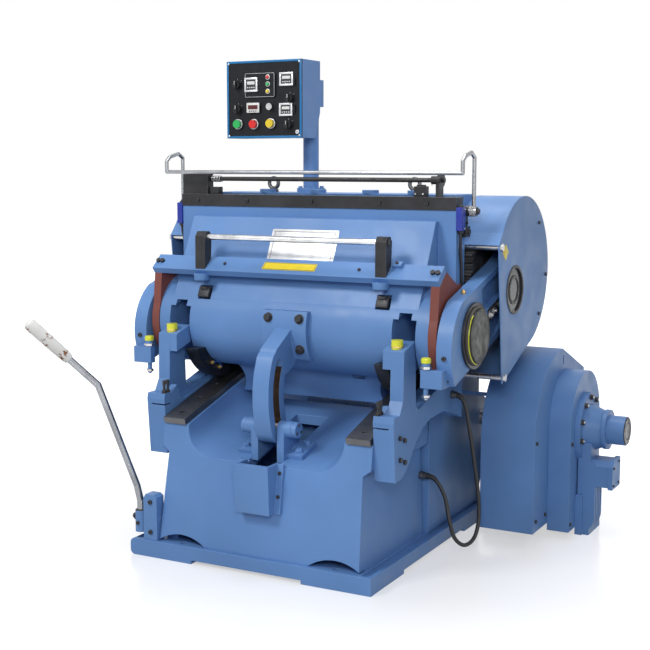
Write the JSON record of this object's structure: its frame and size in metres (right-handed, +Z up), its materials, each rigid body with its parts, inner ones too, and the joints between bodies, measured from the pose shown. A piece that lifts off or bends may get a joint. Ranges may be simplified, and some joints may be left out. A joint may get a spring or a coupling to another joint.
{
  "type": "platen die-cutting machine",
  "caption": "Heavy platen die-cutting and creasing machine: a platen rolls on inclined rails and is pulled shut on an upright bed by side rods and gears, with a control box on a post.",
  "frame": {"origin": "on the floor, at the centre of the four anchor holes of the base plate", "axes": "X to the operator's right, Y to the back of the machine, Z up; the operator stands at -Y"},
  "size_m": [1.9288, 1.8399, 1.97],
  "materials": {
    "amber": "yellow button",
    "chrome": "polished rod",
    "dark_steel": "blackened steel and black paint",
    "enamel": "light blue machine enamel, satin",
    "gear_iron": "oiled cast iron, cut teeth",
    "green": "green button",
    "grip": "white grip, worn",
    "knob": "black knob",
    "panel_black": "black panel face",
    "primer": "red-brown primer",
    "red": "red button",
    "rubber": "black rubber",
    "steel": "machined steel",
    "yellow": "bright yellow caps"
  },
  "bodies": {
    "frame": {"base_plate": "enamel", "pedestal": "enamel", "rails": "steel", "cheek_left": "enamel", "cheek_right": "enamel", "cheek_screws": "dark_steel", "cheek_oil_cups": "yellow", "arm_well": "enamel", "cam_pin_brackets": "enamel", "cam_pin": "steel", "bed": "enamel", "chase": "dark_steel", "gear_studs": "steel", "gear_guard_left": "enamel", "gear_guard_right": "enamel", "guard_tie_rods": "chrome", "flywheel_guard": "enamel", "clutch_guard": "enamel", "outboard_bracket": "enamel", "motor": "enamel", "control_post": "enamel", "control_box": "enamel", "control_panel": "panel_black", "lifting_eyes": "dark_steel", "lever_bracket": "enamel", "cable_glands": "dark_steel", "power_cable": "rubber", "drive_belts": "rubber"},
    "carriage": {"trunnions": "steel", "trunnion_caps": "dark_steel"},
    "platen": {"platen": "enamel", "platen_top_bar": "dark_steel", "rockers": "steel", "end_brackets": "primer", "crossbar": "enamel", "rod_blocks": "dark_steel", "register_rod": "chrome", "guide_arm": "enamel", "safety_holders": "dark_steel"},
    "safety_bar": {"safety_bar": "chrome"},
    "link_shaft": {"link_shaft": "chrome"},
    "conrod_left": {"conrod_left": "enamel"},
    "conrod_right": {"conrod_right": "enamel"},
    "bull_gear_left": {"bull_gear_left": "gear_iron"},
    "bull_gear_right": {"bull_gear_right": "gear_iron"},
    "countershaft": {"countershaft": "gear_iron"},
    "drive_shaft": {"drive_shaft": "steel"},
    "flywheel": {"flywheel": "gear_iron"},
    "motor_pulley": {"motor_pulley": "steel"},
    "clutch_lever": {"clutch_lever": "dark_steel", "lever_socket": "enamel", "lever_grip": "grip"},
    "green_button": {"green_button": "green"},
    "red_button": {"red_button": "red"},
    "yellow_button": {"yellow_button": "amber"},
    "speed_dial": {"speed_dial": "knob"},
    "selector_1": {"selector_1": "knob"},
    "selector_2": {"selector_2": "knob"},
    "selector_3": {"selector_3": "knob"},
    "selector_4": {"selector_4": "knob"}
  },
  "joints": [
    {"name": "platen_stroke", "type": "slide", "parent": "frame", "child": "carriage", "axis": [0, -0.9613, -0.2756], "range_m": [0, 0.21247]},
    {"name": "platen_roll", "type": "hinge", "parent": "carriage", "child": "platen", "pos_m": [0, -0.15, 0.91], "axis": [1, 0, 0], "range_deg": [0, 50.82]},
    {"name": "conrod_left_swing", "type": "hinge", "parent": "carriage", "child": "conrod_left", "pos_m": [0, -0.15, 0.91], "axis": [1, 0, 0], "range_deg": [-3.38, 0]},
    {"name": "conrod_right_swing", "type": "hinge", "parent": "carriage", "child": "conrod_right", "pos_m": [0, -0.15, 0.91], "axis": [1, 0, 0], "range_deg": [-3.38, 0]},
    {"name": "bull_gear_left_turn", "type": "hinge", "parent": "frame", "child": "bull_gear_left", "pos_m": [0, 0.26, 1.115], "axis": [1, 0, 0], "range_deg": [0, 177.01]},
    {"name": "bull_gear_right_turn", "type": "hinge", "parent": "frame", "child": "bull_gear_right", "pos_m": [0, 0.26, 1.115], "axis": [1, 0, 0], "range_deg": [0, 177.01]},
    {"name": "countershaft_turn", "type": "hinge", "parent": "frame", "child": "countershaft", "pos_m": [0, 0.47861, 0.85459], "axis": [1, 0, 0], "range_deg": [-708.05, 0]},
    {"name": "drive_shaft_turn", "type": "hinge", "parent": "frame", "child": "drive_shaft", "pos_m": [0, 0.6, 0.44], "axis": [1, 0, 0], "range_deg": [0, 3540.24]},
    {"name": "flywheel_spin", "type": "hinge", "parent": "frame", "child": "flywheel", "pos_m": [0, 0.6, 0.44], "axis": [1, 0, 0], "continuous": true},
    {"name": "motor_spin", "type": "hinge", "parent": "frame", "child": "motor_pulley", "pos_m": [0, 0.828, 0.152], "axis": [1, 0, 0], "continuous": true},
    {"name": "safety_bar_push", "type": "hinge", "parent": "platen", "child": "safety_bar", "pos_m": [0, -0.06, 1.372], "axis": [-1, 0, 0], "range_deg": [0, 8], "stiffness_Nm_per_rad": 40, "springref_deg": -6.88},
    {"name": "link_shaft_turn", "type": "hinge", "parent": "platen", "child": "link_shaft", "pos_m": [0, -0.082, 1.488], "axis": [1, 0, 0], "range_deg": [-30, 30]},
    {"name": "clutch_lever_swing", "type": "hinge", "parent": "frame", "child": "clutch_lever", "pos_m": [-0.535, -0.57, 0.15], "axis": [1, 0, 0], "range_deg": [-15, 20]},
    {"name": "green_button_press", "type": "slide", "parent": "frame", "child": "green_button", "axis": [0, 1, 0], "range_m": [0, 0.004], "stiffness_N_per_m": 400, "springref_m": -0.004},
    {"name": "red_button_press", "type": "slide", "parent": "frame", "child": "red_button", "axis": [0, 1, 0], "range_m": [0, 0.004], "stiffness_N_per_m": 400, "springref_m": -0.004},
    {"name": "yellow_button_press", "type": "slide", "parent": "frame", "child": "yellow_button", "axis": [0, 1, 0], "range_m": [0, 0.004], "stiffness_N_per_m": 400, "springref_m": -0.004},
    {"name": "speed_dial_turn", "type": "hinge", "parent": "frame", "child": "speed_dial", "pos_m": [-0.239, -0.036, 1.782], "axis": [0, -1, 0], "range_deg": [-135, 135]},
    {"name": "selector_1_turn", "type": "hinge", "parent": "frame", "child": "selector_1", "pos_m": [-0.399, -0.036, 1.873], "axis": [0, -1, 0], "range_deg": [-45, 45]},
    {"name": "selector_2_turn", "type": "hinge", "parent": "frame", "child": "selector_2", "pos_m": [-0.396, -0.036, 1.773], "axis": [0, -1, 0], "range_deg": [-45, 45]},
    {"name": "selector_3_turn", "type": "hinge", "parent": "frame", "child": "selector_3", "pos_m": [-0.148, -0.036, 1.814], "axis": [0, -1, 0], "range_deg": [0, 90]},
    {"name": "selector_4_turn", "type": "hinge", "parent": "frame", "child": "selector_4", "pos_m": [-0.155, -0.036, 1.707], "axis": [0, -1, 0], "range_deg": [0, 90]}
  ],
  "couplings": [
    {"joint": "platen_roll", "follows": "platen_stroke", "rad_per_m": 4.1667},
    {"joint": "conrod_left_swing", "follows": "platen_stroke", "rad_per_m": -0.27447},
    {"joint": "conrod_right_swing", "follows": "platen_stroke", "rad_per_m": -0.27447},
    {"joint": "bull_gear_left_turn", "follows": "platen_stroke", "rad_per_m": 14.512},
    {"joint": "bull_gear_right_turn", "follows": "platen_stroke", "rad_per_m": 14.512},
    {"joint": "countershaft_turn", "follows": "platen_stroke", "rad_per_m": -58.048},
    {"joint": "drive_shaft_turn", "follows": "platen_stroke", "rad_per_m": 290.24},
    {"joint": "motor_spin", "follows": "flywheel_spin", "ratio": 6.2222}
  ]
}
